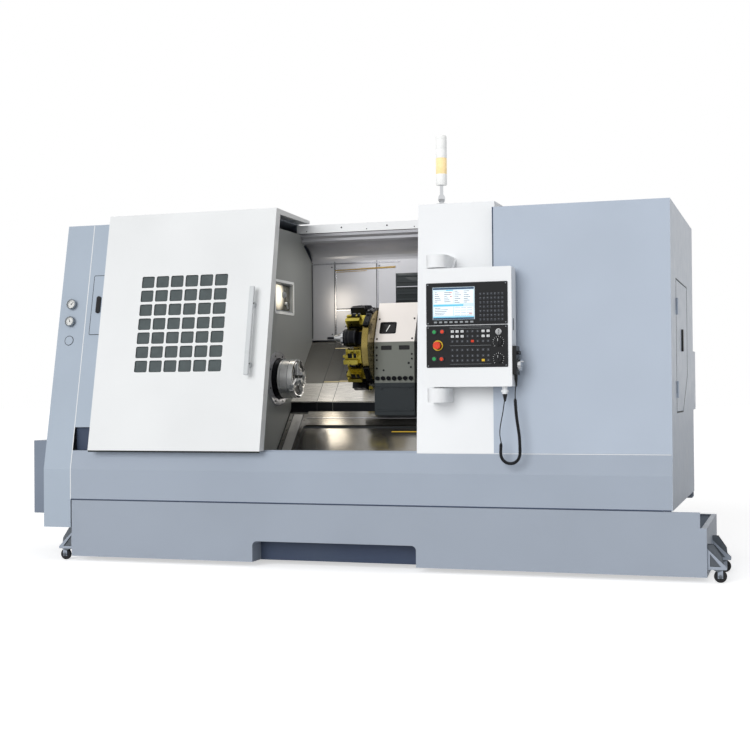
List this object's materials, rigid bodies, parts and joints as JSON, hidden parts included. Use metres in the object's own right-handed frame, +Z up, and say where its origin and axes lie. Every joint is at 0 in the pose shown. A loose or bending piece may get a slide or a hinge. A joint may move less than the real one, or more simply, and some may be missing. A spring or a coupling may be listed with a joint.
{
  "type": "cnc turning lathe",
  "caption": "Slant bed turning lathe in a blue grey guard, its work door open on the chuck and turret, with a swinging control pendant and a wheeled chip tank",
  "frame": {"origin": "on the floor, below the middle of the whole machine", "axes": "+X along the spindle to the tailstock, +Y to the back, +Z up"},
  "size_m": [3.877, 1.626, 2.204],
  "materials": {
    "guard_paint": "semi-gloss",
    "skirt_paint": "semi-gloss",
    "white_paint": "semi-gloss",
    "dark_paint": "satin",
    "casting": "painted",
    "stainless": "brushed",
    "steel": "ground",
    "black_metal": "satin",
    "gold_disc": "satin",
    "yellow_metal": "satin",
    "black_plastic": "matte",
    "grey_plastic": "matte",
    "red_plastic": "gloss",
    "green_plastic": "gloss",
    "rubber_belt": "matte",
    "wheel_rubber": "matte",
    "door_glass": "tinted"
  },
  "bodies": {
    "machine": {"bed": "casting", "headstock": "casting", "spindle_motor": "dark_paint", "drive_belt": "rubber_belt", "left_end_guard": "guard_paint", "pressure_gauges": "black_plastic", "headstock_guard": "guard_paint", "front_skirt": "skirt_paint", "cavity_liner": "stainless", "work_lamp": "grey_plastic", "apron_plates": "stainless", "column": "white_paint", "signal_tower": "white_paint", "right_housing": "guard_paint", "rear_guard": "guard_paint", "hydraulic_unit": "guard_paint", "electric_rack": "grey_plastic"},
    "door": {"door_panel": "white_paint", "door_glass": "door_glass", "door_handle": "white_paint"},
    "side_door": {"access_door": "guard_paint"},
    "spindle": {"spindle": "steel", "chuck_cylinder": "steel", "chuck_adapter": "black_metal", "chuck_body": "steel"},
    "jaw_1": {"chuck_jaw_1": "steel"},
    "jaw_2": {"chuck_jaw_2": "steel"},
    "jaw_3": {"chuck_jaw_3": "steel"},
    "motor_pulley": {"motor_pulley": "steel"},
    "saddle": {"saddle": "dark_paint", "way_cover_moving": "stainless"},
    "middle_cover": {"way_cover_middle": "stainless"},
    "z_screw": {"z_ball_screw": "steel"},
    "cross_slide": {"cross_slide": "dark_paint", "turret_box": "casting"},
    "turret": {"turret_disc": "gold_disc", "holders_black": "black_metal", "holders_yellow": "yellow_metal"},
    "tailstock": {"tailstock": "casting"},
    "quill": {"tailstock_quill": "steel"},
    "tank": {"chip_tank": "skirt_paint"},
    "wheel_1": {"caster_wheel_1": "wheel_rubber"},
    "wheel_2": {"caster_wheel_2": "wheel_rubber"},
    "wheel_3": {"caster_wheel_3": "wheel_rubber"},
    "wheel_4": {"caster_wheel_4": "wheel_rubber"},
    "pendant": {"pendant_box": "white_paint", "control_unit": "black_plastic", "operator_panel": "black_plastic", "handwheel_unit": "grey_plastic", "cord_coil": "black_plastic", "cord_leads": "black_plastic"},
    "estop": {"estop_button": "red_plastic"},
    "cycle_start": {"cycle_start": "green_plastic"},
    "feed_hold": {"feed_hold": "red_plastic"},
    "power_on": {"power_on": "green_plastic"},
    "power_off": {"power_off": "red_plastic"},
    "feed_knob": {"feed_knob": "black_plastic"},
    "speed_knob": {"speed_knob": "black_plastic"},
    "key_switch": {"key_switch": "steel"},
    "handwheel": {"handwheel_dial": "black_plastic"}
  },
  "joints": [
    {"name": "door_slide", "type": "slide", "parent": "machine", "child": "door", "axis": [1, 0, 0], "range_m": [0, 0.826]},
    {"name": "side_door_hinge", "type": "hinge", "parent": "machine", "child": "side_door", "pos_m": [1.7018, -0.382, 1.1], "axis": [0, 0, -1], "range_deg": [0, 110]},
    {"name": "spindle_turn", "type": "hinge", "parent": "machine", "child": "spindle", "pos_m": [-1.5175, -0.33, 0.98], "axis": [1, 0, 0], "continuous": true},
    {"name": "jaw_1_slide", "type": "slide", "parent": "spindle", "child": "jaw_1", "axis": [0, 0, 1], "range_m": [0, 0.006]},
    {"name": "jaw_2_slide", "type": "slide", "parent": "spindle", "child": "jaw_2", "axis": [0, -0.866, -0.5], "range_m": [0, 0.006]},
    {"name": "jaw_3_slide", "type": "slide", "parent": "spindle", "child": "jaw_3", "axis": [0, 0.866, -0.5], "range_m": [0, 0.006]},
    {"name": "motor_turn", "type": "hinge", "parent": "machine", "child": "motor_pulley", "pos_m": [-1.5175, 0.193, 0.4], "axis": [1, 0, 0], "continuous": true},
    {"name": "saddle_slide", "type": "slide", "parent": "machine", "child": "saddle", "axis": [1, 0, 0], "range_m": [-0.15, 0.3]},
    {"name": "middle_cover_slide", "type": "slide", "parent": "machine", "child": "middle_cover", "axis": [1, 0, 0], "range_m": [-0.08, 0.155]},
    {"name": "z_screw_turn", "type": "hinge", "parent": "machine", "child": "z_screw", "pos_m": [-1.5175, 0.11901, 0.94111], "axis": [1, 0, 0], "continuous": true},
    {"name": "cross_slide_move", "type": "slide", "parent": "saddle", "child": "cross_slide", "axis": [0, 0.7071, 0.7071], "range_m": [-0.012, 0.18]},
    {"name": "turret_index", "type": "hinge", "parent": "cross_slide", "child": "turret", "pos_m": [-1.5175, -0.17564, 1.14568], "axis": [1, 0, 0], "continuous": true},
    {"name": "tailstock_slide", "type": "slide", "parent": "machine", "child": "tailstock", "axis": [1, 0, 0], "range_m": [-0.18, 0.2]},
    {"name": "quill_slide", "type": "slide", "parent": "tailstock", "child": "quill", "axis": [1, 0, 0], "range_m": [-0.12, 0]},
    {"name": "tank_roll", "type": "slide", "parent": "machine", "child": "tank", "axis": [0, -1, 0], "range_m": [0, 0.6]},
    {"name": "wheel_1_turn", "type": "hinge", "parent": "tank", "child": "wheel_1", "pos_m": [-1.5695, -0.627, 0.03], "axis": [0, 1, 0], "continuous": true},
    {"name": "wheel_2_turn", "type": "hinge", "parent": "tank", "child": "wheel_2", "pos_m": [-1.5695, -0.25, 0.03], "axis": [0, 1, 0], "continuous": true},
    {"name": "wheel_3_turn", "type": "hinge", "parent": "tank", "child": "wheel_3", "pos_m": [1.9085, -0.627, 0.03], "axis": [0, 1, 0], "continuous": true},
    {"name": "wheel_4_turn", "type": "hinge", "parent": "tank", "child": "wheel_4", "pos_m": [1.9085, -0.25, 0.03], "axis": [0, 1, 0], "continuous": true},
    {"name": "pendant_swing", "type": "hinge", "parent": "machine", "child": "pendant", "pos_m": [0.5775, -0.729, 1.215], "axis": [0, 0, -1], "range_deg": [0, 75]},
    {"name": "cycle_start_press", "type": "slide", "parent": "pendant", "child": "cycle_start", "axis": [0, 1, 0], "range_m": [0, 0.003], "stiffness_N_per_m": 600},
    {"name": "feed_hold_press", "type": "slide", "parent": "pendant", "child": "feed_hold", "axis": [0, 1, 0], "range_m": [0, 0.003], "stiffness_N_per_m": 600},
    {"name": "power_on_press", "type": "slide", "parent": "pendant", "child": "power_on", "axis": [0, 1, 0], "range_m": [0, 0.003], "stiffness_N_per_m": 600},
    {"name": "power_off_press", "type": "slide", "parent": "pendant", "child": "power_off", "axis": [0, 1, 0], "range_m": [0, 0.003], "stiffness_N_per_m": 600},
    {"name": "estop_press", "type": "slide", "parent": "pendant", "child": "estop", "axis": [0, 1, 0], "range_m": [0, 0.004], "stiffness_N_per_m": 900},
    {"name": "feed_knob_turn", "type": "hinge", "parent": "pendant", "child": "feed_knob", "pos_m": [0.8945, -0.785, 1.141], "axis": [0, 1, 0], "range_deg": [-135, 135]},
    {"name": "speed_knob_turn", "type": "hinge", "parent": "pendant", "child": "speed_knob", "pos_m": [0.8945, -0.785, 1.06], "axis": [0, 1, 0], "range_deg": [-135, 135]},
    {"name": "key_switch_turn", "type": "hinge", "parent": "pendant", "child": "key_switch", "pos_m": [0.8955, -0.785, 1.19], "axis": [0, 1, 0], "range_deg": [0, 90]},
    {"name": "handwheel_turn", "type": "hinge", "parent": "pendant", "child": "handwheel", "pos_m": [0.9815, -0.737, 1.028], "axis": [1, 0, 0], "continuous": true}
  ],
  "couplings": [
    {"joint": "jaw_2_slide", "follows": "jaw_1_slide", "ratio": 1},
    {"joint": "jaw_3_slide", "follows": "jaw_1_slide", "ratio": 1},
    {"joint": "motor_turn", "follows": "spindle_turn", "ratio": 1.5},
    {"joint": "middle_cover_slide", "follows": "saddle_slide", "ratio": 0.5},
    {"joint": "z_screw_turn", "follows": "saddle_slide", "rad_per_m": 628.32}
  ]
}
